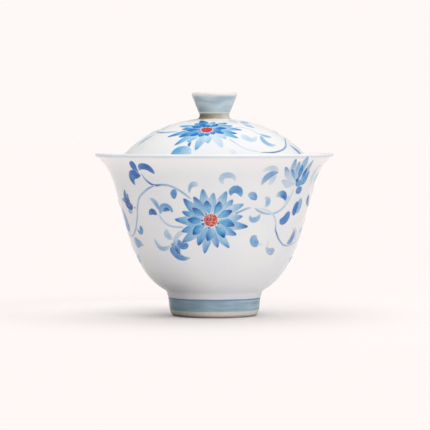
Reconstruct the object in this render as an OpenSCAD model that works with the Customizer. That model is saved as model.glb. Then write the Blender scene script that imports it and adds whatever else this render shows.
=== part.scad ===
// Gaiwan: a flared porcelain tea bowl on a foot ring, with a domed lid that drops inside its rim.
// Z is up, and the origin is the centre of the foot ring's standing face. Millimetres.

/* [Bowl] */
// Diameter across the flared rim
rim_d = 100; // [94:1:106]
// Height of the rim above the table
bowl_h = 68; // [65:1:71]
// Wall thickness at the rim
rim_t = 1.4; // [1.2:0.1:1.8]
// Wall thickness where the wall turns in to the floor
base_t = 3.2; // [2.8:0.1:3.6]

/* [Foot ring] */
// Diameter of the foot ring at its waist
foot_d = 39; // [37:0.5:41]
// Height of the foot ring, up to the slip joint under the bowl
foot_h = 8.6; // [8:0.1:9]
// Diameter of the recess inside the foot ring
foot_bore_d = 31.4; // [30:0.2:32]

/* [Lid] */
// Diameter of the lid's edge
lid_d = 85; // [83:0.5:86]
// Height of the dome's outside, from the edge to the crown
lid_rise = 20.6; // [20:0.2:22]
// Wall thickness of the lid
lid_t = 2; // [1.8:0.1:2.2]

/* [Knob] */
// Diameter of the knob's lip
knob_d = 19; // [18:0.5:20]
// Diameter of the knob's narrow neck
neck_d = 12.4; // [12:0.1:13]
// Height of the knob above its seat on the lid
knob_h = 11.1; // [10.5:0.1:12]

/* [Hidden] */
$fn = 96;

porcelain = [0.90, 0.90, 0.89];
blue_glaze = [0.55, 0.66, 0.71];

curve_steps = 18;    // straight pieces in each long curve of an outline
edge_steps = 8;      // straight pieces in each rounded edge
seat_gap = 0.25;     // air between the lid's rounded edge and the bowl's wall
boss_gap = 0.1;      // slip gap round the boss that centres the foot ring

rim_r = rim_d / 2;
foot_r = foot_d / 2;
foot_bore_r = foot_bore_d / 2;
lid_r = lid_d / 2;
knob_r = knob_d / 2;
knob_neck_r = neck_d / 2;

// A point of the cubic Bezier curve with the four control points c, and the curve's direction there.
function bezier_point(c, t) =
    pow(1 - t, 3) * c[0] + 3 * pow(1 - t, 2) * t * c[1] + 3 * (1 - t) * t * t * c[2] + pow(t, 3) * c[3];
function bezier_slope(c, t) =
    pow(1 - t, 2) * (c[1] - c[0]) + 2 * (1 - t) * t * (c[2] - c[1]) + t * t * (c[3] - c[2]);
function bezier(c, steps = curve_steps) = [for (i = [0:steps]) bezier_point(c, i / steps)];

// The same curve moved to its left, by a distance that changes steadily from d_from to d_to.
function left_of(v) = [-v[1], v[0]] / norm(v);
function inset_bezier(c, d_from, d_to) = [
    for (i = [0:curve_steps])
        let (t = i / curve_steps)
        bezier_point(c, t) + left_of(bezier_slope(c, t)) * (d_from + (d_to - d_from) * t)
];

// Points of an arc about a centre, from one angle to another in degrees.
function polar(r, angle) = r * [cos(angle), sin(angle)];
function arc(centre, r, from, to) =
    [for (i = [0:edge_steps]) centre + polar(r, from + (to - from) * i / edge_steps)];

function reversed(points) = [for (i = [len(points) - 1:-1:0]) points[i]];
function tail(points) = [for (i = [1:len(points) - 1]) points[i]];

// ---- Bowl ----
// The outside of the wall is two curves from the foot to the rim.
// A full belly comes first, then a flare that turns outwards.
lip_r = rim_t / 2;
lip_centre = [rim_r - lip_r, bowl_h - lip_r];
lip_angle = -54;
lip_start = lip_centre + polar(lip_r, lip_angle);
wall_start = [foot_r + 1.4, foot_h + 2.2];
waist = [rim_r * 0.787, bowl_h * 0.667];
belly = [wall_start, [rim_r * 0.665, bowl_h * 0.259], [rim_r * 0.7175, bowl_h * 0.5045], waist];
flare = [waist, [rim_r * 0.8365, bowl_h * 0.7825], [rim_r * 0.845, bowl_h * 0.901], lip_start];
belly_run = bezier_slope(belly, 0) / norm(bezier_slope(belly, 0));

// The inside follows the outside, and the wall between them thins steadily from base_t to rim_t.
waist_t = (base_t + rim_t) / 2;
inner_belly = inset_bezier(belly, base_t, waist_t);
inner_flare = inset_bezier(flare, waist_t, rim_t);

// The floor of the well runs on from the wall and levels out at the axis.
well_start = inner_belly[0];
well_z = well_start[1] - 2.9;
well = [well_start, well_start - 7 * belly_run, [6, well_z], [0, well_z]];

// Under the floor, a low boss centres the foot ring, and the shoulder round it is the slip joint.
boss_r = foot_bore_r - boss_gap;
boss_z = foot_h - 2.2;
neck_r = foot_r + 0.2;
neck = [[neck_r, foot_h], [neck_r + 0.3, foot_h + 1.1], wall_start - 0.9 * belly_run, wall_start];

function bowl_outline() = concat(
    [[0, boss_z], [boss_r, boss_z], [boss_r, foot_h]],
    bezier(neck, edge_steps),
    tail(bezier(belly)),
    tail(bezier(flare)),
    tail(arc(lip_centre, lip_r, lip_angle, lip_angle + 180)),
    tail(reversed(inner_flare)),
    tail(reversed(inner_belly)),
    tail(bezier(well))
);

module bowl() {
    color(porcelain) rotate_extrude() polygon(bowl_outline());
}

// ---- Foot ring ----
// Its side leans in a little, rounds under and stands on a narrow face that is left without glaze.
stand_r = foot_r - 2.6;
stand_edge = 0.3;
heel = [foot_r - 0.6, 3.6];
heel_curve = [[stand_r, 0], [stand_r + 0.8, 0.15], [heel[0] - 0.3, 1.2], heel];
side_curve = [heel, heel + [0.15, 1.2], [neck_r - 0.55, foot_h - 1.4], [neck_r, foot_h]];

function foot_outline() = concat(
    [[foot_bore_r + stand_edge, 0]],
    bezier(heel_curve, edge_steps),
    tail(bezier(side_curve, edge_steps)),
    [[foot_bore_r, foot_h], [foot_bore_r, stand_edge]]
);

module foot_ring() {
    color(blue_glaze) rotate_extrude() polygon(foot_outline());
}

// ---- Lid ----
// The lid's edge is round.
// Its centre drops to the height where the edge is seat_gap away from the bowl's wall.
edge_r = lid_t / 2;
edge_clearance = edge_r + seat_gap;
edge_track = inset_bezier(flare, waist_t + edge_clearance, rim_t + edge_clearance);
edge_centre = [lid_r - edge_r, lookup(lid_r - edge_r, edge_track)];
edge_angle = 36;

dome_start = edge_centre + polar(edge_r, edge_angle);
crown_z = dome_start[1] + lid_rise;
dome = [dome_start, dome_start + polar(13, edge_angle + 90), [lid_r * 0.51, crown_z], [0, crown_z]];

// The crown is cut flat where the knob is luted on.
knob_seat_z = crown_z - 0.42;
knob_seat_r = knob_neck_r + 1.2;

function lid_outline() = concat(
    bezier(dome),
    reversed(inset_bezier(dome, lid_t, lid_t)),
    tail(arc(edge_centre, edge_r, edge_angle - 180, edge_angle))
);

module lid() {
    color(porcelain) difference() {
        rotate_extrude() polygon(lid_outline());
        translate([0, 0, knob_seat_z]) cylinder(r = knob_seat_r + 1, h = lid_t);
    }
}

// ---- Knob ----
// A small flared cup, stuck on to the lid like a second foot upside down.
knob_wall = 1.9;
knob_lip_r = 1.1;
knob_lip_centre = [knob_r - knob_lip_r, knob_seat_z + knob_h - knob_lip_r];
knob_flare_angle = -22;
knob_floor_z = knob_seat_z + 4;
knob_base = [
    [knob_seat_r, knob_seat_z],
    [knob_neck_r + 0.4, knob_seat_z + 0.2],
    [knob_neck_r - 0.1, knob_seat_z + 0.9],
    [knob_neck_r, knob_seat_z + 1.7]
];
knob_well = [
    [knob_neck_r + 1.5 - knob_wall, knob_floor_z + 1.5],
    [knob_neck_r + 1 - knob_wall, knob_floor_z + 0.3],
    [3, knob_floor_z],
    [0, knob_floor_z]
];

function knob_outline() = concat(
    [[0, knob_seat_z]],
    bezier(knob_base, edge_steps),
    arc(knob_lip_centre, knob_lip_r, knob_flare_angle, knob_flare_angle + 180),
    bezier(knob_well, edge_steps)
);

module knob() {
    color(blue_glaze) rotate_extrude() polygon(knob_outline());
}

bowl();
foot_ring();
lid();
knob();
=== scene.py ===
"""A porcelain gaiwan with its lid on, painted in cobalt blue and iron red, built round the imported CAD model.

Blender units are metres, with Z up. Sizes in this script are millimetres until a mesh is made. Azimuths are
degrees round the bowl's axis: 0 at the front (-Y), 90 at the right (+X).
"""

import math

import bpy
import numpy as np
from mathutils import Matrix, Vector


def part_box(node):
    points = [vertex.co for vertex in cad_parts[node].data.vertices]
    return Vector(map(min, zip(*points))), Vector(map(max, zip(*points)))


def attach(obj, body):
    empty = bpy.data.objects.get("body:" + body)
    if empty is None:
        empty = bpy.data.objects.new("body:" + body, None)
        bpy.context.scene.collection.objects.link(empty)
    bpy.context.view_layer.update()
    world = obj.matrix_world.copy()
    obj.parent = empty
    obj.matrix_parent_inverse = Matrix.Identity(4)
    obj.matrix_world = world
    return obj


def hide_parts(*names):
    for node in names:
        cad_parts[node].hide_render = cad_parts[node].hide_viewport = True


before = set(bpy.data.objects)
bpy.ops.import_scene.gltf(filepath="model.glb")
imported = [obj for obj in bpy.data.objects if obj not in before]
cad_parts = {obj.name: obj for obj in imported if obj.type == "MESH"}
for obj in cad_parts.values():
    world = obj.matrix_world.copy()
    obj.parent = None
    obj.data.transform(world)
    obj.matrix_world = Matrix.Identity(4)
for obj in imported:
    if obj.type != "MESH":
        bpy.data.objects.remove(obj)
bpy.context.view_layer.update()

MM = 0.001
TURN = 384             # quads round each turned shell
OUTLINE_STEP = 1.2     # mm between the rings of a turned shell
CORNER = 35            # an outline that bends by more degrees than this has a sharp edge there
STROKE_STEP = 0.7      # mm between the rows of a brush stroke
STROKE_COLUMNS = 9     # points across a brush stroke
LIFT = 0.03            # mm that a stroke's face stands clear of the bare glaze
LAYER = 0.012          # mm more for each stroke that it crosses
SINK = 0.08            # mm that a stroke's back lies under the glaze
FEATHER = 0.6          # mm over which a stroke's pigment fades out at its edge
BRUSH_SHIFT = 31       # mm between one stroke and the next in the pattern of streaks

rng = np.random.default_rng(7)


# ---- Outlines ----

def seam_outline(node):
    """The (radius, height) outline in mm of a turned CAD node, read where the plane y = 0 cuts its mesh."""
    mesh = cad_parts[node].data
    points = np.array([v.co for v in mesh.vertices]) / MM
    on_seam = (np.abs(points[:, 1]) < 1e-4) & (points[:, 0] > -1e-4)
    spots = [tuple(np.round(p[[0, 2]], 3)) for p in points]
    links = {}
    for edge in mesh.edges:
        a, b = edge.vertices
        if on_seam[a] and on_seam[b] and spots[a] != spots[b]:
            links.setdefault(spots[a], set()).add(spots[b])
            links.setdefault(spots[b], set()).add(spots[a])
    ends = [p for p in links if len(links[p]) == 1]
    chain = [min(ends or links, key=lambda p: p[1])]
    while True:
        onward = [p for p in links[chain[-1]] if p not in chain]
        if not onward:
            break
        chain.append(onward[0])
    if not ends:
        chain.append(chain[0])
    if ends and chain[0][0] > 0:
        chain.insert(0, (0.0, chain[0][1]))
    if ends and chain[-1][0] > 0:
        chain.append((0.0, chain[-1][1]))
    chain = np.array(chain)
    r, z = chain[:, 0], chain[:, 1]
    area = np.sum(r * np.roll(z, -1) - np.roll(r, -1) * z)
    return chain if area > 0 else chain[::-1]


def smooth_run(points, step):
    """A smooth curve through all the points, with a new point about every step."""
    points = np.asarray(points, float)
    gaps = np.linalg.norm(np.diff(points, axis=0), axis=1)
    knots = np.concatenate([[0], np.cumsum(np.sqrt(gaps))])
    slopes = np.gradient(points, knots, axis=0)
    out = [points[:1]]
    for i, gap in enumerate(gaps):
        t = np.linspace(0, 1, max(1, math.ceil(gap / step)) + 1)[1:, None]
        span = knots[i + 1] - knots[i]
        out.append(
            (2 * t**3 - 3 * t**2 + 1) * points[i]
            + (t**3 - 2 * t**2 + t) * span * slopes[i]
            + (3 * t**2 - 2 * t**3) * points[i + 1]
            + (t**3 - t**2) * span * slopes[i + 1]
        )
    return np.vstack(out)


def smooth_outline(points):
    """The outline with its smooth stretches filled in, and the places of its sharp corners in it."""
    run = np.diff(points, axis=0)
    turn = np.degrees(np.arctan2(run[:, 1], run[:, 0]))
    bend = np.abs((np.diff(turn) + 180) % 360 - 180)
    corners = [0, *(np.where(bend > CORNER)[0] + 1), len(points) - 1]
    out, sharp = [points[:1]], []
    for a, b in zip(corners[:-1], corners[1:]):
        out.append(smooth_run(points[a : b + 1], OUTLINE_STEP)[1:])
        sharp.append(sum(len(part) for part in out) - 1)
    return np.vstack(out), sharp[:-1]


# ---- Meshes ----

def loft_faces(rows, columns, first=0):
    """Quads between closed rows of points, numbered row by row from first."""
    row, column = np.meshgrid(np.arange(rows - 1), np.arange(columns), indexing="ij")
    here = first + row * columns + column
    beside = first + row * columns + (column + 1) % columns
    return np.stack([here, beside, beside + columns, here + columns], -1).reshape(-1, 4).tolist()


def fan_faces(pole, ring, flip):
    """Triangles between one point and the closed row that starts at the number ring[0]."""
    start, columns = ring
    near = [start + i for i in range(columns)]
    far = near[1:] + near[:1]
    return [(pole, b, a) if flip else (pole, a, b) for a, b in zip(near, far)]


def new_piece(name, mesh, material, body):
    mesh.materials.append(material)
    piece = bpy.data.objects.new(name, mesh)
    bpy.context.scene.collection.objects.link(piece)
    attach(piece, body)
    return piece


def turned_mesh(name, outline, sharp):
    """A closed solid turned from an outline. Points on the axis become single poles."""
    angle = np.radians(np.arange(TURN) * 360 / TURN)
    on_axis = [i for i, p in enumerate(outline) if p[0] < 1e-6]
    closed = not on_axis
    rings = [i for i in range(len(outline) - closed) if i not in on_axis]
    r, z = outline[rings, 0][:, None], outline[rings, 1][:, None]
    grid = np.stack([r * np.cos(angle), r * np.sin(angle), z + 0 * angle], -1)
    points = grid.reshape(-1, 3)
    faces = loft_faces(len(rings), TURN)
    if closed:
        last = (len(rings) - 1) * TURN
        faces += [(last + i, last + (i + 1) % TURN, (i + 1) % TURN, i) for i in range(TURN)]
    else:
        poles = [[0, 0, outline[0, 1]], [0, 0, outline[-1, 1]]]
        faces += fan_faces(len(points), (0, TURN), flip=True)
        faces += fan_faces(len(points) + 1, ((len(rings) - 1) * TURN, TURN), flip=False)
        points = np.vstack([points, poles])
    mesh = bpy.data.meshes.new(name)
    mesh.from_pydata((points * MM).tolist(), [], faces)
    mesh.shade_smooth()
    ring_of = {at: k for k, at in enumerate(rings)}
    sharp_rings = {ring_of[i] for i in sharp if i in ring_of} | ({0} if closed else set())
    marks = mesh.attributes.new("sharp_edge", "BOOLEAN", "EDGE")
    ends = np.array([e.vertices for e in mesh.edges])
    row = ends // TURN
    along_ring = (row[:, 0] == row[:, 1]) & (ends.max(1) < len(rings) * TURN)
    marks.data.foreach_set("value", along_ring & np.isin(row[:, 0], list(sharp_rings)))
    mesh.update()
    return mesh


def turned_piece(name, node, material, body):
    """A smooth shell that stands for a turned CAD node, and its outline."""
    outline, sharp = smooth_outline(seam_outline(node))
    piece = new_piece(name, turned_mesh(name, outline, sharp), material, body)
    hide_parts(node)
    return outline


# ---- The painter's brush ----

class Wall:
    """The painted outside of a shell. A place on it is an azimuth and a length up the outline."""

    def __init__(self, outline, by_height):
        self.outline = outline
        self.up = np.concatenate([[0], np.cumsum(np.linalg.norm(np.diff(outline, axis=0), axis=1))])
        run = np.gradient(outline, self.up, axis=0)
        self.facing = np.stack([run[:, 1], -run[:, 0]], -1)
        self.facing /= np.linalg.norm(self.facing, axis=1)[:, None]
        # A wall is painted by height, a dome by its distance from the axis.
        self.level = outline[:, 1] if by_height else -outline[:, 0]
        self.sign = 1 if by_height else -1

    def column(self, values, up):
        return np.interp(up, self.up, values)

    def radius(self, up):
        return self.column(self.outline[:, 0], up)

    def chart(self, points):
        """Places from (azimuth, height) on a wall, or (azimuth, distance from the axis) on a dome."""
        points = np.asarray(points, float)
        up = np.interp(self.sign * points[:, 1], self.level, self.up)
        return np.column_stack([points[:, 0], up])

    def around(self, centre, offsets):
        """Places from (right, up) distances in mm about a centre, laid on the surface."""
        azimuth, up = self.chart([centre])[0]
        turn = math.radians(azimuth)
        r, z = self.radius(up), self.column(self.outline[:, 1], up)
        facing_r, facing_z = (self.column(self.facing[:, i], up) for i in (0, 1))
        right, rise = np.asarray(offsets, float).T
        # The tangent plane: out is the distance from the axis through the centre, side is across it.
        out = r - rise * facing_z
        height = z + rise * facing_r
        level = height if self.sign > 0 else -np.hypot(out, right)
        place = np.interp(level, self.level, self.up)
        return np.column_stack([np.degrees(turn + np.arctan2(right, out)), place])

    def solid(self, places, lift):
        """Points in mm, standing lift clear of the surface, and the surface's normals there."""
        turn = np.radians(places[..., 0])
        r, z = (self.column(self.outline[:, i], places[..., 1]) for i in (0, 1))
        nr, nz = (self.column(self.facing[:, i], places[..., 1]) for i in (0, 1))
        r, z = r + lift * nr, z + lift * nz
        points = np.stack([r * np.sin(turn), -r * np.cos(turn), z], -1)
        return points, np.stack([nr * np.sin(turn), -nr * np.cos(turn), nz], -1)


def profile(shape, t):
    """How wide a stroke of that shape is along its length, as a share of its widest."""
    t = np.clip(t, 0, 1)
    if shape == "line":
        return np.clip(np.minimum(t, 1 - t) / 0.12, 0, 1) ** 0.6
    if shape == "petal":
        return np.where(t < 0.55, (t / 0.55) ** 0.9, (np.clip(1 - t, 0, 1) / 0.45) ** 0.65)
    if shape == "comma":
        head = np.sqrt(np.clip(1 - (1 - t / 0.3) ** 2, 0, 1))
        return np.where(t < 0.3, head, ((1 - t) / 0.7) ** 0.9)
    if shape == "leaf":
        return np.sin(math.pi * t) ** 0.8
    return np.sqrt(np.clip(1 - np.abs(2 * t - 1) ** 2.4, 0, 1))   # a bean, round at both ends


class Painting:
    """Brush strokes on one wall, gathered into one mesh of closed lens-shaped films."""

    def __init__(self, wall):
        self.wall = wall
        self.parts = []
        self.count = 0

    def stroke(self, shape, places, width, tones, tint, layer, side=0.0):
        """One stroke through the places. Its tones run from its first point to its last, 0 bare to 1.2 full.

        Its tint runs the same way, or is one number: -1 teal, 0 blue, 1 violet. A stroke covers those of
        lower layers. Side is how much darker its left edge is than its middle.
        """
        wall, places = self.wall, np.asarray(places, float)
        scale = np.radians(1) * wall.radius(places[:, 1].mean())
        path = smooth_run(places * [scale, 1], STROKE_STEP)
        gone = np.concatenate([[0], np.cumsum(np.linalg.norm(np.diff(path, axis=0), axis=1))])
        length = gone[-1]
        rows = max(9, math.ceil(length / STROKE_STEP))
        # Rows crowd towards both ends, where the width changes fastest.
        t = (1 - np.cos(np.linspace(0, math.pi, rows + 2))) / 2
        spine = np.column_stack([np.interp(t * length, gone, path[:, i]) for i in (0, 1)]) / [scale, 1]
        radius = wall.radius(spine[:, 1])[:, None]
        run = np.gradient(spine, t * length, axis=0) * np.hstack([np.radians(radius), np.ones_like(radius)])
        run /= np.linalg.norm(run, axis=1)[:, None]
        # The pigment fades out at the edge, so the film is a little wider than the stroke.
        skirt = FEATHER / 2 * np.clip(np.minimum(t, 1 - t) * length / FEATHER, 0, 1)
        half = (width / 2 * profile(shape, t) + skirt)[:, None]
        across = np.linspace(1, -1, STROKE_COLUMNS)
        across = np.concatenate([across, across[-2:0:-1]])
        face = np.arange(len(across)) < STROKE_COLUMNS
        rim = np.abs(across) == 1
        lift = np.where(rim, -LIFT, np.where(face, LIFT + LAYER * layer, -SINK))
        grid = np.empty((rows + 2, len(across), 2))
        grid[..., 0] = spine[:, :1] - np.degrees(run[:, 1:] * half * across / radius)
        grid[..., 1] = spine[:, 1:] + run[:, :1] * half * across
        points, normals = wall.solid(grid[1:-1], np.broadcast_to(lift, grid[1:-1].shape[:2]))
        tips, tip_normals = wall.solid(spine[[0, -1]], np.full(2, -LIFT))
        tone = np.interp(t, np.linspace(0, 1, len(tones)), tones)
        tone = tone[:, None] * (1 + side * across)
        tint = np.interp(t, np.linspace(0, 1, np.size(tint)), np.atleast_1d(tint))
        along = (t * length + BRUSH_SHIFT * self.count)[:, None] + 0 * across
        values = {
            "tone": tone,
            "tint": tint[:, None] + 0 * tone,
            "edge": half * (1 - np.abs(across)),
            "brush": np.stack([along, half * across, 0 * along], -1),
        }
        flat = {}
        for key, grid_values in values.items():
            inner = grid_values[1:-1].reshape(-1, *grid_values.shape[2:])
            middle = STROKE_COLUMNS // 2
            flat[key] = np.concatenate([inner, grid_values[[0, -1], middle]])
        self.parts.append((rows, len(across), np.vstack([points.reshape(-1, 3), tips]),
                           np.vstack([normals.reshape(-1, 3), tip_normals]), flat))
        self.count += 1

    def piece(self, name, material, body, slot):
        """Makes the piece that holds all the strokes so far."""
        faces, first = [], 0
        for rows, columns, points, _, _ in self.parts:
            last = first + (rows - 1) * columns
            faces += loft_faces(rows, columns, first)
            faces += fan_faces(first + rows * columns, (first, columns), flip=True)
            faces += fan_faces(first + rows * columns + 1, (last, columns), flip=False)
            first += len(points)
        mesh = bpy.data.meshes.new(name)
        mesh.from_pydata((np.vstack([p[2] for p in self.parts]) * MM).tolist(), [], faces)
        for key in ("tone", "tint", "edge"):
            mesh.attributes.new(key, "FLOAT", "POINT").data.foreach_set(
                "value", np.concatenate([p[4][key] for p in self.parts]))
        mesh.attributes.new("brush", "FLOAT_VECTOR", "POINT").data.foreach_set(
            "vector", np.concatenate([p[4]["brush"] for p in self.parts]).ravel())
        mesh.shade_smooth()
        mesh.normals_split_custom_set_from_vertices(np.vstack([p[3] for p in self.parts]).tolist())
        new_piece(name, mesh, material, body)


# ---- Materials ----

LIT = 0.955    # share of its own colour that the front of the bowl sends back in this light
HAZE = 0.006   # what the glaze mirrors of its surroundings there, as a linear colour

# Heights and distances from the axis where the glazes change, in mm.
bowl_high = np.array(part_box("bowl")[1]) / MM
foot_low, foot_high = (np.array(c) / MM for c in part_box("foot_ring"))
knob_low, knob_high = (np.array(c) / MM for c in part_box("knob"))
RIM_LINE = bowl_high[2] - 1.2
BAND_TOP = foot_high[2] - 0.85
BAND_BOTTOM = foot_low[2] + 2.65
BORE_R = seam_outline("foot_ring")[:, 0].min()
KNOB_SEAT = knob_low[2]
KNOB_SEAT_R = 7.0
KNOB_BAND_BOTTOM = KNOB_SEAT + 2.3
KNOB_LIP = knob_high[2] - 1.8
KNOB_WELL_R = 5.0
KNOB_WELL_FLOOR = KNOB_SEAT + 3.7
KNOB_SHADOW_CENTRE = (-6.6, -5.4, KNOB_SEAT)   # the middle of the painted shadow that the knob casts on the lid


def linear(value):
    """The linear value of an sRGB channel from 0 to 255."""
    value /= 255
    return value / 12.92 if value <= 0.04045 else ((value + 0.055) / 1.055) ** 2.4


def seen(red, green, blue):
    """The surface colour that shows as this sRGB colour on the front of the bowl."""
    return (*(max(0.0, (linear(c) - HAZE) / LIT) for c in (red, green, blue)), 1.0)


class Nodes:
    """Short calls for building the node tree of a new material or world."""

    def __init__(self, owner):
        owner.use_nodes = True
        self.owner = owner
        self.tree = owner.node_tree

    def put(self, kind, inputs=None, **settings):
        node = self.tree.nodes.new(kind)
        for key, value in settings.items():
            setattr(node, key, value)
        for key, value in (inputs or {}).items():
            if isinstance(value, bpy.types.NodeSocket):
                self.tree.links.new(value, node.inputs[key])
            else:
                node.inputs[key].default_value = value
        return node

    def maths(self, operation, a, b, clamp=False):
        return self.put("ShaderNodeMath", {0: a, 1: b}, operation=operation, use_clamp=clamp).outputs[0]

    def times(self, a, b):
        return self.maths("MULTIPLY", a, b)

    def swing(self, noise, amount):
        """The noise centred on 0 and scaled."""
        return self.times(self.maths("SUBTRACT", noise, 0.5), amount)

    def vector(self, operation, a, b, output="Vector"):
        return self.put("ShaderNodeVectorMath", {0: a, 1: b}, operation=operation).outputs[output]

    def apart(self, a, b):
        """The distance between two places."""
        return self.vector("DISTANCE", a, b, "Value")

    def step(self, value, low, high, out_low=0.0, out_high=1.0):
        """A smooth change from out_low to out_high as the value goes from low to high."""
        inputs = {"Value": value, "From Min": low, "From Max": high, "To Min": out_low, "To Max": out_high}
        return self.put("ShaderNodeMapRange", inputs, interpolation_type="SMOOTHSTEP").outputs[0]

    def fade(self, value, low, high):
        """1 up to low, then a smooth change to 0 at high."""
        return self.step(value, low, high, 1.0, 0.0)

    def stripe(self, value, start, full, fading, end):
        """1 from full to fading, and 0 before start and after end."""
        return self.times(self.step(value, start, full), self.fade(value, fading, end))

    def blend(self, factor, a, b):
        return self.put("ShaderNodeMix", {0: factor, 6: a, 7: b}, data_type="RGBA").outputs[2]

    def attribute(self, name, output="Fac"):
        return self.put("ShaderNodeAttribute", attribute_name=name).outputs[output]

    def noise(self, vector, scale, detail=2.0, roughness=0.5):
        inputs = {"Vector": vector, "Scale": scale, "Detail": detail, "Roughness": roughness}
        return self.put("ShaderNodeTexNoise", inputs).outputs["Fac"]

    def stretch(self, vector, scale, shift=(0, 0, 0)):
        return self.put("ShaderNodeMapping", {"Vector": vector, "Scale": scale, "Location": shift}).outputs[0]

    def ramp(self, factor, stops):
        node = self.put("ShaderNodeValToRGB", {"Fac": factor})
        band = node.color_ramp
        while len(band.elements) < len(stops):
            band.elements.new(0.5)
        for element, (place, colour) in zip(band.elements, stops):
            element.position = place
            element.color = colour
        return node.outputs["Color"]

    def here(self):
        """Where a point is on the object, in mm."""
        place = self.put("ShaderNodeTexCoord").outputs["Object"]
        return self.put("ShaderNodeVectorMath", {0: place, "Scale": 1 / MM}, operation="SCALE").outputs[0]

    def glaze(self, colour, roughness, bump):
        """Wires a glaze's colour, roughness and faint unevenness into the shader. Gives the material."""
        links, inputs = self.tree.links, self.tree.nodes["Principled BSDF"].inputs
        links.new(colour, inputs["Base Color"])
        links.new(roughness, inputs["Roughness"])
        inputs["IOR"].default_value = 1.5
        inputs["Specular IOR Level"].default_value = 0.06
        relief = self.put("ShaderNodeBump", {"Height": bump, "Strength": 0.05, "Distance": 0.05 * MM})
        links.new(relief.outputs[0], inputs["Normal"])
        return self.owner


def new_material(name):
    return Nodes(bpy.data.materials.new(name))


GLAZE = seen(223, 225, 226)
GLAZE_COOL = seen(220, 223, 226)
GLAZE_SPECK = seen(196, 190, 182)


def glaze_colour(n, place):
    """Clear glaze over white porcelain: faint warm and cool clouds, and a few tiny specks."""
    clouds = n.noise(place, 0.06, 3.0)
    body = n.blend(n.step(clouds, 0.4, 0.62), GLAZE, GLAZE_COOL)
    specks = n.put("ShaderNodeTexVoronoi", {"Vector": place, "Scale": 0.16}).outputs["Distance"]
    speck = n.times(n.fade(specks, 0.018, 0.034), n.step(clouds, 0.48, 0.56))
    return n.blend(n.times(speck, 0.5), body, GLAZE_SPECK)


def glaze_relief(n, place):
    """Orange-peel unevenness of a fired glaze, over the faint rings left by turning."""
    peel = n.noise(place, 0.4, 2.0)
    rings = n.noise(n.stretch(place, (0.02, 0.02, 0.25)), 1.0, 1.0)
    return n.maths("ADD", n.times(peel, 0.8), n.times(rings, 0.2))


def glaze_roughness(n, place, middle=0.1):
    return n.step(n.noise(place, 0.12, 3.0), 0.35, 0.65, middle - 0.02, middle + 0.03)


def height_of(n, place):
    return n.put("ShaderNodeSeparateXYZ", {0: place}).outputs["Z"]


def painted_shade_left_mask(n, place, low, high):
    """1 on the left of the pot, fading to 0 between two distances to the right of its middle. It masks painted
    shade on the left of the knob and painted light on its right.
    """
    return n.fade(n.put("ShaderNodeSeparateXYZ", {0: place}).outputs["X"], low, high)


def from_axis(n, place):
    return n.apart(n.vector("MULTIPLY", place, (1, 1, 0)), (0, 0, 0))


def wavy(n, place, height, amount):
    """Height with a slow waver round the pot, as a hand-held brush leaves on the wheel."""
    return n.maths("ADD", height, n.swing(n.noise(n.stretch(place, (0.09, 0.09, 0.0)), 1.0, 2.0), amount))


def bowl_glaze():
    """White glaze with painted light that brightens it towards the rim, and a soft grey-blue line under a
    faintly blue lip.
    """
    n = new_material("bowl_glaze")
    place = n.here()
    height = wavy(n, place, height_of(n, place), 0.25)
    line = n.stripe(height, RIM_LINE - 0.65, RIM_LINE - 0.05, RIM_LINE + 0.15, RIM_LINE + 0.9)
    strength = n.step(n.noise(place, 0.1, 2.0), 0.3, 0.7, 0.7, 1.0)
    lip = n.step(height, RIM_LINE - 0.1, RIM_LINE + 0.7)
    # painted light: the glaze colour is lightened towards the rim, standing in for light glowing through the
    # thin wall
    painted_rim_glow = n.step(height, RIM_LINE - 9, RIM_LINE - 1)
    colour = n.blend(painted_rim_glow, glaze_colour(n, place), seen(231, 232, 233))
    colour = n.blend(n.times(lip, 0.7), colour, seen(227, 231, 234))
    colour = n.blend(n.times(line, strength), colour, seen(203, 214, 222))
    return n.glaze(colour, glaze_roughness(n, place), glaze_relief(n, place))


def lid_glaze():
    """White glaze with painted light round the knob's seat, and a painted shadow of the knob on its front
    left.
    """
    n = new_material("lid_glaze")
    place = n.here()
    # painted light: the glaze is made whiter near the knob's seat, lightening the shade under the knob
    painted_light_round_knob = n.fade(from_axis(n, place), KNOB_SEAT_R + 1, KNOB_SEAT_R + 8)
    colour = n.blend(painted_light_round_knob, glaze_colour(n, place), seen(246, 246, 246))
    # painted shadow: a grey-olive patch on the front left of the lid, where the knob's shadow falls
    run = n.step(n.apart(place, KNOB_SHADOW_CENTRE), 1.0, 6.5, 0.78, 0.0)
    colour = n.blend(run, colour, seen(146, 142, 128))
    return n.glaze(colour, glaze_roughness(n, place), glaze_relief(n, place))


def brushed_band(n, place, colours, bend, fineness):
    """A band laid on with a wide brush on the wheel: arcs of streaks, and patches where it overlaps.

    Its colours go from pale to deep. Bend is how far in mm the streaks waver up and down, and a greater
    fineness makes them thinner.
    """
    waver = n.noise(n.stretch(place, (0.09, 0.09, 0.12)), 1.0, 1.0)
    shift = n.put("ShaderNodeCombineXYZ", {"Z": n.swing(waver, bend)}).outputs[0]
    streaks = n.noise(n.stretch(n.vector("ADD", place, shift), (0.05, 0.05, fineness)), 1.0, 3.0, 0.55)
    patches = n.noise(n.stretch(place, (0.1, 0.1, 0.2), (3.0, 8.0, 0.0)), 1.0, 2.0)
    mixed = n.maths("ADD", n.times(streaks, 0.55), n.times(patches, 0.45))
    return n.ramp(n.step(mixed, 0.34, 0.66), [(i / 2, seen(*c)) for i, c in enumerate(colours)])


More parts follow.
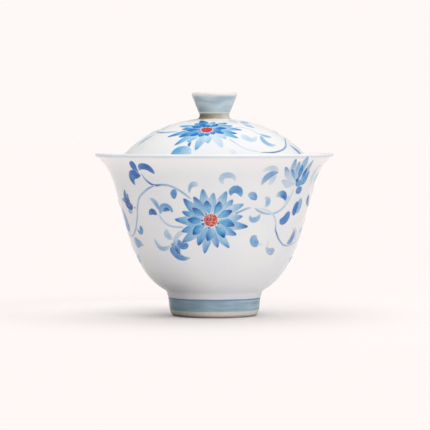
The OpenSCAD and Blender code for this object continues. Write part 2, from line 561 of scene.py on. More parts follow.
def foot_glaze():
    """A grey-blue band under a thin cobalt line, with the bare pale body below it and inside the ring. The
    bare body darkens towards the standing edge, partly as wear and partly as painted shade.
    """
    n = new_material("foot_glaze")
    place = n.here()
    height = height_of(n, place)
    top = wavy(n, place, height, 0.35)
    bottom = wavy(n, place, height, 0.5)
    band = brushed_band(n, place, [(164, 187, 199), (149, 174, 187), (134, 160, 174)], 3.0, 0.9)
    line = n.stripe(top, BAND_TOP - 0.65, BAND_TOP - 0.3, BAND_TOP - 0.1, BAND_TOP + 0.15)
    band = n.blend(line, band, seen(108, 138, 180))
    above = n.step(top, BAND_TOP - 0.15, BAND_TOP + 0.25)
    colour = n.blend(above, band, glaze_colour(n, place))
    grain = n.noise(place, 1.6, 4.0, 0.65)
    bare = n.ramp(grain, [(0.3, seen(206, 202, 194)), (0.7, seen(220, 218, 213))])
    # darker towards the standing edge: partly wear of the bare body, partly painted shade where the foot meets
    # the floor
    worn_and_shaded = n.ramp(grain, [(0.3, seen(142, 134, 124)), (0.7, seen(182, 175, 166))])
    bare = n.blend(n.step(height, 0.3, 1.4), worn_and_shaded, bare)
    outside = n.step(from_axis(n, place), BORE_R + 0.15, BORE_R + 0.45)
    covered = n.times(n.step(bottom, BAND_BOTTOM - 0.25, BAND_BOTTOM + 0.25), outside)
    colour = n.blend(covered, bare, colour)
    rough = n.maths("SUBTRACT", 0.5, n.times(covered, 0.38))
    relief = n.maths("ADD", glaze_relief(n, place), n.times(grain, n.maths("SUBTRACT", 1.0, covered)))
    return n.glaze(colour, rough, relief)


def knob_glaze():
    """A brushed grey-blue flare between a white lip and a neck where olive-grey glaze has pooled. Both carry
    painted shade on their left, and the neck painted light on its right.
    """
    n = new_material("knob_glaze")
    place = n.here()
    height = height_of(n, place)
    band = brushed_band(n, place, [(204, 217, 222), (188, 203, 211), (160, 182, 194)], 8.0, 0.35)
    # painted shade: the flare is darkened on its left, most near its bottom
    low = n.step(height, KNOB_BAND_BOTTOM + 0.5, KNOB_BAND_BOTTOM + 6.0, 0.9, 0.25)
    band = n.blend(n.times(painted_shade_left_mask(n, place, -9.0, 4.0), low), band, seen(122, 145, 154))
    low_edge = wavy(n, place, height, 0.3)
    pale_line = n.stripe(low_edge, KNOB_BAND_BOTTOM - 0.1, KNOB_BAND_BOTTOM + 0.15,
                         KNOB_BAND_BOTTOM + 0.3, KNOB_BAND_BOTTOM + 0.9)
    colour = n.blend(pale_line, band, seen(206, 214, 213))
    thick = n.noise(n.stretch(place, (0.12, 0.12, 0.3), (1.0, 0.0, 0.0)), 1.0, 2.0)
    pooled_glaze_and_shade = n.ramp(n.step(thick, 0.36, 0.62), [(0.0, seen(202, 200, 188)), (1.0, seen(158, 153, 131))])
    # painted light on the right of the neck and painted shade on its far left, over the real olive-grey pooled
    # glaze
    pooled_glaze_and_shade = n.blend(painted_shade_left_mask(n, place, 0.5, 5.5), seen(205, 203, 191), pooled_glaze_and_shade)
    pooled_glaze_and_shade = n.blend(painted_shade_left_mask(n, place, -7.5, 1.0), pooled_glaze_and_shade, seen(112, 107, 88))
    colour = n.blend(n.fade(low_edge, KNOB_BAND_BOTTOM - 0.6, KNOB_BAND_BOTTOM + 0.1), colour, pooled_glaze_and_shade)
    seam = n.fade(height, KNOB_SEAT - 0.1, KNOB_SEAT + 0.12)
    colour = n.blend(seam, colour, glaze_colour(n, place))
    lip = n.step(wavy(n, place, height, 0.35), KNOB_LIP - 0.5, KNOB_LIP + 0.9)
    colour = n.blend(lip, colour, seen(224, 222, 221))
    well = n.times(n.fade(from_axis(n, place), KNOB_WELL_R - 0.1, KNOB_WELL_R + 0.1),
                   n.step(height, KNOB_WELL_FLOOR - 0.2, KNOB_WELL_FLOOR + 0.2))
    colour = n.blend(well, colour, glaze_colour(n, place))
    return n.glaze(colour, glaze_roughness(n, place), glaze_relief(n, place))


def stroke_mask(n):
    """1 where the stroke's pigment is, fading to bare glaze at its edges."""
    return n.step(n.attribute("edge"), 0.0, FEATHER)


def cobalt_paint():
    """Cobalt wash under the glaze: streaks along each stroke, pooled edges, and three casts of blue."""
    n = new_material("cobalt_paint")
    place = n.here()
    streaks = n.noise(n.stretch(n.attribute("brush", "Vector"), (0.16, 1.5, 1.0)), 1.0, 3.0, 0.6)
    wash = n.noise(place, 0.45, 3.0)
    uneven = n.maths("ADD", n.swing(streaks, 0.75), n.swing(wash, 0.45))
    pooled = n.step(n.attribute("edge"), 0.3, 0.8, 0.12, 0.0)
    shade = n.times(n.attribute("tone"), n.maths("ADD", n.maths("ADD", uneven, pooled), 1.0))
    places = (0.1, 0.3, 0.45, 0.6, 0.8, 1.0, 1.2)
    fullest = 1.3
    factor = n.maths("DIVIDE", shade, fullest, clamp=True)

    def blues(*colours):
        return n.ramp(factor, [(p / fullest, seen(*c)) for p, c in zip(places, colours)])

    blue = blues((214, 218, 222), (180, 199, 215), (144, 175, 204), (113, 156, 198), (80, 124, 182),
                 (54, 94, 163), (42, 74, 146))
    teal = blues((212, 220, 227), (184, 206, 224), (150, 189, 214), (110, 167, 205), (60, 142, 196),
                 (18, 118, 186), (0, 96, 168))
    violet = blues((214, 215, 222), (182, 190, 213), (155, 168, 201), (127, 144, 188), (98, 116, 168),
                   (76, 92, 148), (58, 72, 130))
    tint = n.attribute("tint")
    cast = n.blend(n.step(tint, 0.0, 1.0), blue, violet)
    cast = n.blend(n.fade(tint, -1.0, 0.0), cast, teal)
    colour = n.blend(stroke_mask(n), glaze_colour(n, place), cast)
    return n.glaze(colour, glaze_roughness(n, place), glaze_relief(n, place))


def iron_red_paint():
    """Iron red dabbed over the glaze, scratched through with pale squiggles."""
    n = new_material("iron_red_paint")
    place = n.here()
    wash = n.noise(place, 0.8, 3.0)
    warp = n.put("ShaderNodeTexNoise", {"Vector": place, "Scale": 0.7, "Detail": 1.0}).outputs["Color"]
    cells = n.put("ShaderNodeTexVoronoi", {"Vector": n.vector("ADD", place, warp), "Scale": 0.72},
                  feature="DISTANCE_TO_EDGE")
    squiggle = n.times(n.fade(cells.outputs["Distance"], 0.04, 0.13), n.step(wash, 0.35, 0.6, 0.35, 0.95))
    full = n.attribute("tone")
    squiggle = n.times(squiggle, n.step(full, 0.7, 0.9, 1.0, 0.15))
    tone = n.maths("ADD", full, n.swing(wash, 0.8))
    red = n.ramp(tone, [(0.3, seen(190, 124, 120)), (0.6, seen(174, 82, 75)), (0.85, seen(200, 73, 54)),
                        (1.0, seen(182, 34, 34))])
    red = n.blend(squiggle, red, seen(208, 166, 160))
    colour = n.blend(stroke_mask(n), glaze_colour(n, place), red)
    return n.glaze(colour, glaze_roughness(n, place, 0.14), glaze_relief(n, place))


def floor_paint(name, centre, edge, inner, outer):
    """Matt paint that goes from an inner to an outer colour between two distances from a centre."""
    n = new_material(name)
    inputs = n.tree.nodes["Principled BSDF"].inputs
    n.tree.links.new(n.blend(n.step(n.apart(n.here(), centre), *edge), inner, outer), inputs["Base Color"])
    inputs["Roughness"].default_value = 0.9
    inputs["Specular IOR Level"].default_value = 0.0
    return n.owner


# ---- The painting ----

# A blossom: its centre, how broad its outer petals are beside its eye, its tint, and its red eye's radius in
# mm and tones. Each petal has its angle in degrees, its length in mm from the blossom's centre, and how strong
# its wash is. The roots are short dark dabs close round the eye, listed by angle.
BOWL_BLOSSOM = {
    "centre": (-2.2, 41.2), "breadth": 1.0, "tint": 0, "eye_r": 2.8, "eye_tones": (0.64, 0.62, 0.8),
    "roots": (128, -173, -150, -95, -30),
    "outer": [
        (103, 13.9, 0.85), (84, 12, 0.85), (62, 14.2, 0.75), (44, 12.9, 0.8), (26, 15.9, 0.7),
        (7.5, 13.9, 0.75), (-9.5, 16.8, 0.95), (-30, 12.6, 0.95), (-57, 14.2, 0.85), (-77, 12.1, 0.95),
        (-101, 14.6, 0.9), (-116, 12.1, 1.1), (-142.5, 15.8, 0.9), (-159, 13.8, 1), (179, 16.2, 1),
        (163, 12.9, 1.1), (141, 14.9, 1.1), (124.5, 12.4, 1.05),
    ],
    "inner": [
        (100, 8.9, 0.95), (65, 9.2, 1), (25, 10.1, 1), (-13, 10.4, 1.05), (-54, 9.4, 1.05), (-99, 9.1, 1),
        (-140, 9.9, 1.05), (178, 10.1, 1.1), (144, 9.6, 1.05),
    ],
}
LID_BLOSSOM = {
    "centre": (-7.5, 24), "breadth": 1.13, "tint": -1.2, "eye_r": 2.4, "eye_tones": (0.95, 1.1, 1.25),
    "roots": (140, -165, -135, -60, 40),
    "outer": [
        (106, 14.2, 1.8), (123, 10.5, 1.3), (77, 10, 1), (55, 12.5, 1.05), (36, 12.4, 0.95), (19, 15, 1.05),
        (1, 12.7, 1.2), (-13, 13.9, 0.95), (-33, 10.5, 0.55), (-55, 13.6, 0.45), (-80, 9.9, 0.7),
        (-103, 13.6, 0.85), (-131, 10.9, 0.75), (-146, 15, 1), (-163, 11.9, 1.6), (-179, 16.4, 1.25),
        (162, 11.6, 1.5), (146, 15, 1.1),
    ],
    "inner": [
        (109, 7.7, 1.9), (143, 8.8, 1.7), (176, 8.8, 1.6), (-147, 8.2, 1.5), (-113, 6.1, 1.3),
        (-79, 5.1, 1.3), (-48, 5.1, 1.4), (-17.5, 8, 1.4), (3, 6.1, 1.4), (21.5, 8.8, 1.5), (63.5, 8.3, 1.4),
        (81, 5.1, 1.7),
    ],
}
OUTER_TONES = (0.42, 0.42, 0.45, 0.5, 0.66, 0.92)
OUTER_TINTS = (-0.25, -0.4, -0.45, -0.45, -0.3, 0.05)
INNER_TONES = (0.6, 0.58, 0.6, 0.68, 0.86, 0.96)
INNER_TINTS = (-0.5, -0.7, -0.75, -0.6, -0.2, 0.1)

# Each stroke: shape, widest width in mm, tint, tones from start to end, and places as (azimuth, height).
BOWL_VINES = [
    ("line", 0.85, 0.1, (0.4, 0.5, 0.85, 0.95, 0.48, 0.42, 0.42, 0.42, 0.42, 0.4),
     [(-42.3, 60.5), (-41.5, 58.5), (-39.5, 56.8), (-37, 55.7), (-34.5, 55.3), (-30, 55.6), (-25.5, 55.2),
      (-21.5, 54), (-17.5, 52.2), (-13, 49.6)]),
    ("line", 0.85, 0.1, (0.8, 0.4, 0.38, 0.4, 0.4, 0.42, 0.38, 0.3),
     [(-34.5, 55.3), (-39, 54.3), (-45, 52), (-49, 50), (-51.5, 47.5), (-53.5, 45), (-55.5, 42), (-57.5, 40),
      (-60, 37.8), (-63, 36), (-67, 34.5), (-72, 33.7), (-78, 33.7)]),
    ("line", 0.75, 0.1, (0.25, 0.32, 0.32, 0.34, 0.4),
     [(-35.5, 44), (-34.5, 42), (-32.5, 40.3), (-29, 38.9), (-25, 38.4), (-19, 38.3)]),
    ("line", 1.8, 0.1, (0.18, 0.28, 0.32, 0.4), [(-20, 36.8), (-24, 35), (-26.3, 33), (-27, 30.6)]),
    ("line", 0.6, 0.5, (0.5, 0.3), [(-57, 46), (-53.5, 45.7)]),
    ("line", 0.85, 0, (0.6, 0.5, 0.4, 0.2), [(12, 43.7), (16, 45), (20, 46.1), (22.5, 46.3)]),
    ("line", 0.85, -0.2, (0.5, 0.42, 0.36, 0.36, 0.34, 0.3, 0.28, 0.22),
     [(24, 46.3), (27, 45), (31, 44), (36.5, 43.7), (41, 44.3), (45, 46), (48, 48.5), (50, 51), (51, 54.5)]),
    ("line", 1.3, -0.2, (0.1, 0.22, 0.26, 0.3), [(45.5, 47), (46.6, 49), (48.4, 51)]),
    ("line", 0.7, 0.4, (0.2, 0.22, 0.24, 0.26, 0.85, 0.5, 0.42, 0.34, 0.28, 0.26, 0.26, 0.3, 0.35, 0.4),
     [(26, 46), (29, 45.8), (34, 44.8), (37.5, 43.5), (40, 41.8), (41.5, 40), (42.3, 37), (44, 35.5),
      (46, 33.8), (50, 31.8), (54, 30.5), (60, 30.1), (66, 30.6), (72, 31.5), (78, 33), (86, 34.2),
      (94, 34.2), (102, 33.7)]),
    ("line", 0.6, 0.2, (0.2, 0.16), [(38.5, 30), (38, 32.8)]),
    ("line", 0.6, 0.2, (0.26, 0.12), [(30, 31.1), (34.5, 31.2)]),
]
BOWL_LEAVES = [
    # the spray at the upper left
    ("leaf", 3.7, 0, (0.5, 0.8, 0.85, 0.75), [(-43.9, 60.6), (-46, 62.6), (-44, 65.4)]),
    ("leaf", 4.3, 0.3, (0.82, 0.84, 0.78, 0.68), [(-43.2, 59.2), (-47.8, 59.7), (-53.6, 58.8)]),
    ("comma", 3.7, 0.4, (0.8, 0.8, 0.78, 0.66), [(-50.8, 59.4), (-51.4, 57.4), (-50, 55)]),
    ("leaf", 3.5, 0.25, (0.5, 0.8, 0.88, 0.84, 0.7), [(-43, 61.3), (-40.8, 62.8), (-37, 62.9), (-33, 59.9)]),
    ("leaf", 2.9, 0.1, (0.55, 0.68, 0.65), [(-21.8, 54.1), (-23.6, 52), (-23.3, 49.6)]),
    ("comma", 2.3, -0.1, (0.2, 0.4, 0.5, 0.4), [(-8.6, 55.7), (-12, 55.9), (-13.8, 54.2), (-14.1, 51.9)]),
    # the spray at the left
    ("leaf", 2.1, -0.1, (0.3, 0.42, 0.55, 0.5), [(-40.6, 50), (-38.2, 49.3), (-36, 47.6), (-34.7, 45)]),
    ("leaf", 3, 0, (0.45, 0.52, 0.58, 0.6),
     [(-34.4, 43.4), (-33.2, 45.8), (-30.2, 46.7), (-27.4, 46.1), (-25.2, 44.2)]),
    ("leaf", 1.8, 0.2, (0.6, 0.9, 0.75), [(-32.4, 44.6), (-29.6, 45.7), (-26.6, 45.2)]),
    ("leaf", 2.7, 0.2, (0.7, 0.84, 0.75), [(-43.5, 43.1), (-40.2, 44.6), (-36.6, 43.2)]),
    ("leaf", 2.9, 0, (0.25, 0.38, 0.36), [(-31, 37.6), (-32, 35.3), (-28.2, 33.2)]),
    ("leaf", 2, 0, (0.3, 0.38, 0.42, 0.35, 0.2),
     [(-43.4, 33.7), (-41.5, 31.1), (-40, 29.8), (-37.5, 29.2), (-34, 29.6), (-29.5, 31)]),
    ("bean", 3.3, 0, (0.55, 0.72, 0.75, 0.68), [(-25.2, 33.4), (-23.4, 31), (-20.8, 30.6), (-17.4, 31.4)]),
    ("bean", 1.5, 0, (0.9, 0.95), [(-22.4, 31.8), (-19.8, 32.2)]),
    ("comma", 4.9, 0, (0.5, 0.68, 0.7, 0.62, 0.25),
     [(-27.2, 32), (-27.8, 28.6), (-26, 26.5), (-22.6, 25.5), (-16.4, 25.8)]),
    ("leaf", 1.8, 0.1, (0.5, 0.9, 0.75), [(-26.6, 31.5), (-26.2, 28.4), (-23.6, 26.7)]),
    # the dark violet cluster, the hooks and the pale leaves far to the left
    ("bean", 2.2, 0.1, (0.3, 0.42, 0.35), [(-65.6, 44.8), (-62.5, 44.2), (-59.5, 44.6)]),
    ("leaf", 2.4, 0.4, (0.75, 0.75, 0.5), [(-61.5, 46.4), (-65.5, 48.4), (-70.6, 49.1)]),
    ("leaf", 3.5, 0.5, (0.85, 0.85, 0.5), [(-60.5, 45.4), (-64.2, 49.4), (-62.5, 53.6)]),
    ("leaf", 2.7, 0.4, (0.85, 0.85, 0.55), [(-59.5, 45.4), (-61.6, 49), (-59.9, 52)]),
    ("bean", 3.5, 0.5, (0.75, 0.9, 0.85), [(-66.4, 47.6), (-61.8, 46.4), (-57.2, 46.4)]),
    ("bean", 2.9, 0.8, (0.8, 0.95, 0.9), [(-65.4, 49.6), (-63.2, 48.6), (-60.6, 47)]),
    ("leaf", 5, 0.4, (0.35, 0.62, 0.35), [(-73, 35), (-75.3, 40), (-76.5, 45.8)]),
    ("leaf", 4.4, 0.5, (0.55, 0.66, 0.5), [(-70.2, 38.8), (-75, 37.6), (-82, 37.6)]),
    ("comma", 2.7, 0.1, (0.58, 0.66, 0.6, 0.35), [(-54.2, 38.6), (-54.8, 36.2), (-57, 35.4), (-59.9, 37.8)]),
    ("comma", 4.9, 0.5, (0.34, 0.46, 0.5, 0.25), [(-69.5, 31.2), (-64, 31.1), (-60, 31), (-56, 30)]),
    ("leaf", 3.2, 0.6, (0.3, 0.4, 0.3), [(-69.6, 25.9), (-75, 24.2), (-80, 22.3)]),
    # the arcs and commas above the stem on the right
    ("leaf", 2.6, 0, (0.15, 0.32, 0.36, 0.35, 0.2),
     [(5, 55.6), (3.7, 58.1), (5.3, 59.4), (8.2, 59.6), (10.4, 58.7), (11.4, 57)]),
    ("leaf", 3.4, -0.15, (0.6, 0.66, 0.7, 0.66, 0.5),
     [(9.2, 51.1), (9.7, 53.1), (12, 53.9), (14.2, 53), (15.4, 50.6)]),
    ("leaf", 3.3, -0.25, (0.35, 0.55, 0.66), [(18.9, 51.8), (22.3, 51.2), (24.8, 49.3)]),
    ("leaf", 2.4, 0, (0.25, 0.4, 0.46, 0.25),
     [(29.6, 50.3), (31.9, 49.9), (32.8, 48.6), (31.8, 47.1), (30.6, 46.5)]),
    ("leaf", 3.1, -0.2, (0.2, 0.42, 0.8, 0.86, 0.6),
     [(37.6, 50.5), (40.4, 51.7), (43, 51.5), (44.9, 50.4), (45.8, 48.6)]),
    ("leaf", 2.4, -0.2, (0.4, 0.47, 0.45, 0.38),
     [(21.6, 43.4), (22.8, 41.6), (25, 41.3), (27.4, 42), (28.4, 43.8)]),
    ("bean", 3.9, 0.15, (0.72, 0.76, 0.74, 0.62), [(44.2, 41), (47.2, 40.6), (50.2, 41.8), (51.2, 44.6)]),
    ("bean", 3.9, -0.2, (0.4, 0.52, 0.4), [(59.8, 43.4), (61.4, 46.5), (60.9, 49.9)]),
    ("bean", 3.5, -0.3, (0.72, 0.9, 0.7), [(57.4, 42.5), (57.2, 45.3), (58.4, 48.6)]),
    ("bean", 3.3, 0.3, (0.62, 0.7, 0.62), [(53.4, 53.4), (56.6, 53), (59.8, 53.6)]),
    ("bean", 3.6, 0, (0.42, 0.52, 0.57, 0.45), [(27, 35.2), (26.4, 33), (27.8, 31.7), (31, 30.9)]),
    ("comma", 3.4, 0.3, (0.38, 0.42, 0.38, 0.25), [(46.2, 28.2), (42.4, 28), (39.2, 28.8), (36.7, 30.5)]),
    ("leaf", 3, 0.6, (0.1, 0.22, 0.15), [(59.5, 37.4), (66, 35.4), (71, 31.8)]),
    ("leaf", 3.6, 0.6, (0.5, 0.62, 0.42), [(57.6, 31), (63, 32.6), (63.6, 37)]),
    ("leaf", 2.6, 0, (0.15, 0.27, 0.2), [(25.5, 61.1), (30, 62.4), (33.5, 61.7), (35.8, 60)]),
    ("leaf", 2.6, 0.1, (0.15, 0.28, 0.25), [(31.4, 55.2), (33.4, 58), (34.4, 60.6)]),
    ("leaf", 2.9, 0.2, (0.35, 0.5, 0.56, 0.52), [(26.5, 55.3), (28.8, 58.3), (31.6, 60), (36, 60.7)]),
    # round the side, where the camera hardly reaches
    ("leaf", 3.1, -0.2, (0.12, 0.25, 0.15), [(71.4, 54.6), (69, 59), (71.4, 63.4)]),
    ("leaf", 2.6, 0.2, (0.3, 0.38, 0.3), [(76.3, 55.4), (78, 58), (81, 60)]),
    ("comma", 3.4, 0.4, (0.74, 0.78, 0.6), [(71.6, 50.8), (73.6, 48.2), (79, 46)]),
    ("leaf", 2.6, 0.3, (0.3, 0.38, 0.3), [(74.5, 35.2), (78, 36.2), (82, 35.4)]),
    ("leaf", 3, 0.4, (0.4, 0.55, 0.4), [(75.5, 24.6), (80, 23.6), (85, 25)]),
    ("comma", 3.4, 0.1, (0.75, 0.8, 0.7, 0.5), [(86, 38), (88.5, 40.6), (92.5, 40.4), (94, 37.4)]),
    ("leaf", 3, 0, (0.45, 0.58, 0.45), [(87.5, 30.8), (91, 28.2), (96, 27.6)]),
    ("leaf", 2.8, -0.2, (0.35, 0.5, 0.35), [(83, 50.2), (86.5, 53), (91.5, 52.6)]),
    ("bean", 2.8, 0.2, (0.6, 0.7, 0.6), [(90.5, 45.4), (92.4, 46.8), (92.6, 48.8)]),
]
BOWL_BUD = [
    ("petal", 3.9, 0.3, (0.22, 0.24, 0.25, 0.3), [(52, 56), (45.5, 55.8), (39.4, 57.3)]),
    ("petal", 3.2, 0.1, (0.22, 0.24, 0.26, 0.4, 0.75), [(49.8, 56.4), (44, 59), (38.8, 63)]),
    ("petal", 3.3, -0.3, (0.3, 0.34, 0.36, 0.44, 0.7), [(51, 56.8), (46, 61), (42.4, 66.2)]),
    ("petal", 4.2, -0.3, (0.5, 0.5, 0.44, 0.42, 0.5), [(53.2, 56.5), (52.6, 62), (49, 67.4)]),
    ("petal", 3.4, 0.3, (0.4, 0.44, 0.44, 0.42, 0.42), [(54.8, 57), (57.7, 61), (57, 65.6)]),
    ("petal", 2.6, -0.3, (0.35, 0.4, 0.44, 0.5, 0.7), [(51.6, 57), (49.2, 61), (46.4, 65.2)]),
    ("petal", 2.2, 0.1, (0.35, 0.4, 0.45, 0.6, 0.85), [(51.2, 56.4), (48.4, 58.8), (43.6, 62.2)]),
    ("petal", 3.9, -0.4, (0.6, 0.66, 0.62, 0.66, 0.8), [(53, 55.6), (59.3, 57), (61, 61.4)]),
    ("petal", 3.1, -0.7, (0.85, 0.75, 0.72, 0.8, 0.95), [(52.4, 56), (52.6, 60), (50.4, 64)]),
    ("petal", 2.8, -0.5, (0.5, 0.55, 0.75, 0.95, 0.95), [(54.4, 56.4), (56.6, 58.8), (56.4, 62.8)]),
    ("bean", 3, -0.5, (0.6, 0.68, 0.62), [(51.2, 56.4), (54.4, 55.9), (57.8, 56.6)]),
    ("bean", 1.9, -0.1, (0.8, 0.95, 0.9), [(50.6, 57.8), (51.6, 57.5), (53, 56.8)]),
]

# On the lid, places are (azimuth, distance from the axis).
LID_VINES = [
    ("line", 1.2, 0.2, (0.15, 0.42, 0.55, 0.45, 0.3), [(-76, 25), (-60, 26), (-50, 26), (-36, 25.2)]),
    ("line", 0.65, 0.1, (0.35, 0.25, 0.2, 0.3), [(11, 30), (17, 33.5), (22, 35.5), (30.5, 36.8)]),
    ("line", 0.7, 0, (1, 0.85, 0.66, 0.6, 0.55, 0.4, 0.3, 0.28, 0.3),
     [(30, 36.8), (40, 36.9), (50, 36), (58, 34.5), (66, 32.2), (73, 30.6), (82, 30), (90, 29.5), (97, 27.5),
      (105, 25)]),
    ("line", 0.8, 0.6, (0.3, 0.22, 0.22, 0.25), [(17, 23.7), (28, 21.5), (38, 23.5), (42, 28)]),
]
LID_LEAVES = [
    ("bean", 8.8, -1, (0.7, 0.62, 0.46, 0.3), [(-28.2, 36.8), (-24, 37), (-19, 37), (-14.6, 36.8)]),
    ("leaf", 1.2, -0.9, (0.7, 1, 0.9), [(-17.4, 31.4), (-18, 33), (-17.2, 34.6)]),
    ("leaf", 3.4, 0.2, (0.2, 0.34, 0.38, 0.28), [(-63, 27.4), (-68, 30.6), (-69, 34.4)]),
    ("leaf", 3, 0.3, (0.15, 0.24, 0.18), [(-71, 19.2), (-66, 22), (-60, 25)]),
    ("comma", 3.8, -0.6, (0.2, 0.32, 0.27, 0.12), [(24.4, 27.3), (27, 30.3), (31, 30.8), (38, 28.2)]),
    ("leaf", 2.8, -0.4, (0.42, 0.52, 0.44, 0.16), [(42.6, 28.2), (40, 31), (41.3, 33.1), (49.2, 33.8)]),
    ("leaf", 2.4, -0.3, (0.4, 0.48, 0.36), [(42.2, 27), (47, 28.6), (53.6, 29.2)]),
    ("leaf", 3.6, 0.1, (0.12, 0.24, 0.18), [(39, 9.4), (35, 13.5), (28.6, 17.6)]),
    ("leaf", 3.3, 0.1, (0.25, 0.45, 0.25), [(38.5, 18), (50, 16), (68, 14)]),
    ("leaf", 3.2, 0, (0.28, 0.42, 0.34), [(40.5, 17.8), (45, 20.2), (47.4, 22.6)]),
    ("leaf", 2.6, 0, (0.2, 0.36, 0.22), [(71, 27), (80, 25.8), (94, 25.5)]),
    ("comma", 4, 0, (0.55, 0.55, 0.3), [(71.8, 37.8), (69.4, 36), (66, 33.2)]),
    ("leaf", 2.8, 0, (0.1, 0.14, 0.1), [(9.2, 36.4), (14.8, 36.7)]),
    ("leaf", 2.8, -0.2, (0.3, 0.42, 0.3), [(82, 33.5), (88, 35), (93, 34.4)]),
    ("leaf", 2.6, 0, (0.25, 0.38, 0.25), [(84, 20.5), (92, 19), (100, 20.5)]),
]

def petal(painting, centre, angle, start, length, width, tones, tint, layer):
    """One petal from a blossom's eye to its tip, a little bent to one side and darker along one edge."""
    way = np.array([math.cos(math.radians(angle)), math.sin(math.radians(angle))])
    bow = np.array([-way[1], way[0]]) * rng.uniform(-0.6, 0.6)
    points = [way * start, way * (start * 0.45 + length * 0.55) + bow, way * length]
    side = rng.uniform(-0.35, 0.35)
    painting.stroke("petal", painting.wall.around(centre, points), width, tones, tint, layer, side)


def blossom(painting, centre, flower):
    """A many-petalled flower: a ring of long pale petals under a ring of short dark ones."""
    eye_r, tint = flower["eye_r"], flower["tint"]
    start = eye_r * 0.9
    for i, (angle, length, strength) in enumerate(flower["outer"]):
        tones = np.array(OUTER_TONES) * strength
        tints = np.array(OUTER_TINTS) + tint + rng.uniform(-0.3, 0.3)
        width = eye_r * flower["breadth"] * rng.uniform(1.25, 1.54)
        petal(painting, centre, angle, start, length, width, tones, tints, 5 + i % 3)
    for i, (angle, length, strength) in enumerate(flower["inner"]):
        tones = np.minimum(np.array(INNER_TONES) * strength, 1.08)
        tints = np.array(INNER_TINTS) + tint + rng.uniform(-0.2, 0.2)
        width = eye_r * rng.uniform(1.18, 1.43)
        petal(painting, centre, angle, start, length, width, tones, tints, 8 + i % 4)
    for angle in flower["roots"]:
        length = start + rng.uniform(1.3, 2.0)
        petal(painting, centre, angle, start, length, rng.uniform(0.9, 1.3), (1.15, 1.0, 0.7), 0.1 + tint, 12)


def eye(painting, centre, radius, tones):
    """The red eye of a blossom: one round dab."""
    places = painting.wall.around(centre, [(-radius, 0), (0, 0.1), (radius, 0)])
    painting.stroke("bean", places, radius * 2, tones, 0, 13)


def spray(painting, strokes, turn, first_layer):
    """Paints listed strokes, turned round the axis. A repeat of the motif never falls quite the same."""
    loose = 1.0 if turn else 0.0
    for i, (shape, width, tint, tones, places) in enumerate(strokes):
        places = painting.wall.chart(places)
        places[:, 0] += turn + loose * rng.normal(0, 0.5)
        places[:, 1] += loose * rng.normal(0, 0.3)
        width *= 1 + loose * rng.uniform(-0.08, 0.08)
        painting.stroke(shape, places, width, tones, tint, first_layer + i % 12)


def paint_side(name, wall, body, turn, flower, sprays):
    """One side's whole motif: its sprays of vine and leaf, its blossom and the blossom's red eye."""
    for layer, (part, strokes) in enumerate(sprays.items()):
        painting = Painting(wall)
        spray(painting, strokes, turn, layer)
        painting.piece(f"{name}_{part}", cobalt, body, "cobalt_paint")
    centre = (flower["centre"][0] + turn, flower["centre"][1])
    painting = Painting(wall)
    blossom(painting, centre, flower)
    painting.piece(f"{name}_blossom", cobalt, body, "cobalt_paint")
    painting = Painting(wall)
    eye(painting, centre, flower["eye_r"], flower["eye_tones"])
    painting.piece(f"{name}_heart", iron_red, body, "iron_red_paint")


# ---- The pieces ----

bowl_outline = turned_piece("bowl_shell", "bowl", bowl_glaze(), "bowl")
turned_piece("foot_shell", "foot_ring", foot_glaze(), "bowl")
lid_outline = turned_piece("lid_shell", "lid", lid_glaze(), "lid")
turned_piece("knob_shell", "knob", knob_glaze(), "lid")

# The painted walls: the outside of the bowl from foot to rim, and of the lid from its edge to the knob.
outside = bowl_outline[: np.argmax(bowl_outline[:, 1])]
bowl_wall = Wall(outside[outside[:, 1] > foot_high[2] + 1], by_height=True)
outside = lid_outline[np.argmax(lid_outline[:, 0]) :]
lid_wall = Wall(outside[outside[:, 0] > KNOB_SEAT_R], by_height=False)

cobalt = cobalt_paint()
iron_red = iron_red_paint()
bowl_sprays = {"vines": BOWL_VINES, "leaves": BOWL_LEAVES, "bud": BOWL_BUD}
lid_sprays = {"vines": LID_VINES, "leaves": LID_LEAVES}
for side, turn in (("front", 0), ("back", 180)):
    paint_side(f"bowl_{side}", bowl_wall, "bowl", turn, BOWL_BLOSSOM, bowl_sprays)
    paint_side(f"lid_{side}", lid_wall, "lid", turn, LID_BLOSSOM, lid_sprays)


# ---- The studio ----

BACKDROP = (*(linear(c) for c in (254, 248, 246)), 1.0)
TENT_COLOUR = (1.0, 0.975, 0.965, 1.0)

# The floor that the camera sees has a pool of painted light round the pot, which keeps its shadow soft. The
# floor that lights the pot has a soft dark card by the left of the foot, which puts painted shade on the pot's
# lower left.
# Each has a centre in mm, and an edge: the distances from it where the painted light or the card starts and
# stops fading out.
FLOOR_COLOUR = (0.829, 0.799, 0.792, 1.0)
PAINTED_LIGHT_COLOUR = (1.0, 0.965, 0.958, 1.0)
PAINTED_LIGHT_CENTRE = (-27.0, 33.0, 0.0)
PAINTED_LIGHT_EDGE = (22.0, 78.0)
BOUNCE_COLOUR = (0.905, 0.874, 0.865, 1.0)
SHADE_CARD_COLOUR = (0.15, 0.135, 0.12, 1.0)
SHADE_CARD_CENTRE = (-24.0, -18.0, 0.0)
SHADE_CARD_EDGE = (6.0, 28.0)
FLOOR_HALF = 12.0      # m from the pot to the floor's edges

# Soft lights round the object: direction, how narrow, how strong.
TENT = [
    ((0, 0, 1), 2, 1.8),           # the white ceiling
    ((0, 1, 0), 20, 0.5),          # the pale wall behind
    ((0.3, -0.6, 1), 6, 0.25),     # a soft box over the front
    ((0, 1, 0), 2, 0.35),          # light that the pale wall spreads
    ((0.7, 0.3, 1), 30, 0.6),      # a lamp over the right
    ((0.7, -0.6, 1), 30, 2.8),     # the key lamp over the front right
    ((0.8, -1, 0), 12, 1.05),      # a window at the front right
    ((0, -1, 0), 12, 2.1),         # a white card beside the camera
]


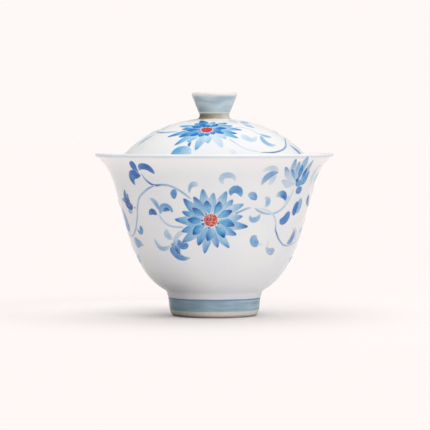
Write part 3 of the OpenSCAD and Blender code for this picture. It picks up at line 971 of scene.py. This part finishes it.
def plane(name, height, material):
    mesh = bpy.data.meshes.new(name)
    corners = [(-1, -1), (1, -1), (1, 1), (-1, 1)]
    mesh.from_pydata([(x * FLOOR_HALF, y * FLOOR_HALF, height) for x, y in corners], [], [(0, 1, 2, 3)])
    mesh.materials.append(material)
    piece = bpy.data.objects.new(name, mesh)
    bpy.context.scene.collection.objects.link(piece)
    return piece


def make_floor():
    """A pale floor that only the camera sees, and just under it the one that the light falls on."""
    # the camera's floor carries a pool of painted light round the pot
    paint = floor_paint("studio_floor", PAINTED_LIGHT_CENTRE, PAINTED_LIGHT_EDGE, PAINTED_LIGHT_COLOUR, FLOOR_COLOUR)
    floor = plane("floor", 0.0, paint)
    floor.visible_diffuse = False
    floor.visible_glossy = False
    floor.visible_shadow = False
    # the floor that lights the pot carries a dark card that puts painted shade on the pot's lower left
    paint = floor_paint("bounce_floor", SHADE_CARD_CENTRE, SHADE_CARD_EDGE, SHADE_CARD_COLOUR, BOUNCE_COLOUR)
    bounce = plane("bounce_floor", -0.1 * MM, paint)
    bounce.visible_camera = False


def make_world():
    """A wide soft tent of light, brighter from the right and above. The camera sees only its backdrop."""
    n = Nodes(bpy.data.worlds.new("studio"))
    bpy.context.scene.world = n.owner
    backdrop = n.tree.nodes["Background"]
    backdrop.inputs["Color"].default_value = BACKDROP
    way = n.put("ShaderNodeTexCoord").outputs["Generated"]
    total = 0.0
    for direction, sharpness, strength in TENT:
        facing = n.vector("DOT_PRODUCT", way, Vector(direction).normalized(), "Value")
        lobe = n.maths("POWER", n.maths("MAXIMUM", facing, 0.0), sharpness)
        total = n.maths("ADD", n.times(lobe, strength), total)
    tent = n.put("ShaderNodeBackground", {"Color": TENT_COLOUR, "Strength": total})
    to_camera = n.put("ShaderNodeLightPath").outputs["Is Camera Ray"]
    light = n.put("ShaderNodeMixShader", {0: to_camera, 1: tent.outputs[0], 2: backdrop.outputs[0]})
    n.tree.links.new(light.outputs[0], n.tree.nodes["World Output"].inputs["Surface"])


def make_camera():
    data = bpy.data.cameras.new("camera")
    data.lens = 211.4
    data.sensor_width = 36
    camera = bpy.data.objects.new("camera", data)
    camera.location = (0.00025, -1.058, 0.07875)
    camera.rotation_euler = (math.radians(90 - 1.985), 0, 0)
    bpy.context.scene.collection.objects.link(camera)
    bpy.context.scene.camera = camera


make_floor()
make_world()
make_camera()
bpy.context.scene.view_settings.view_transform = "Standard"
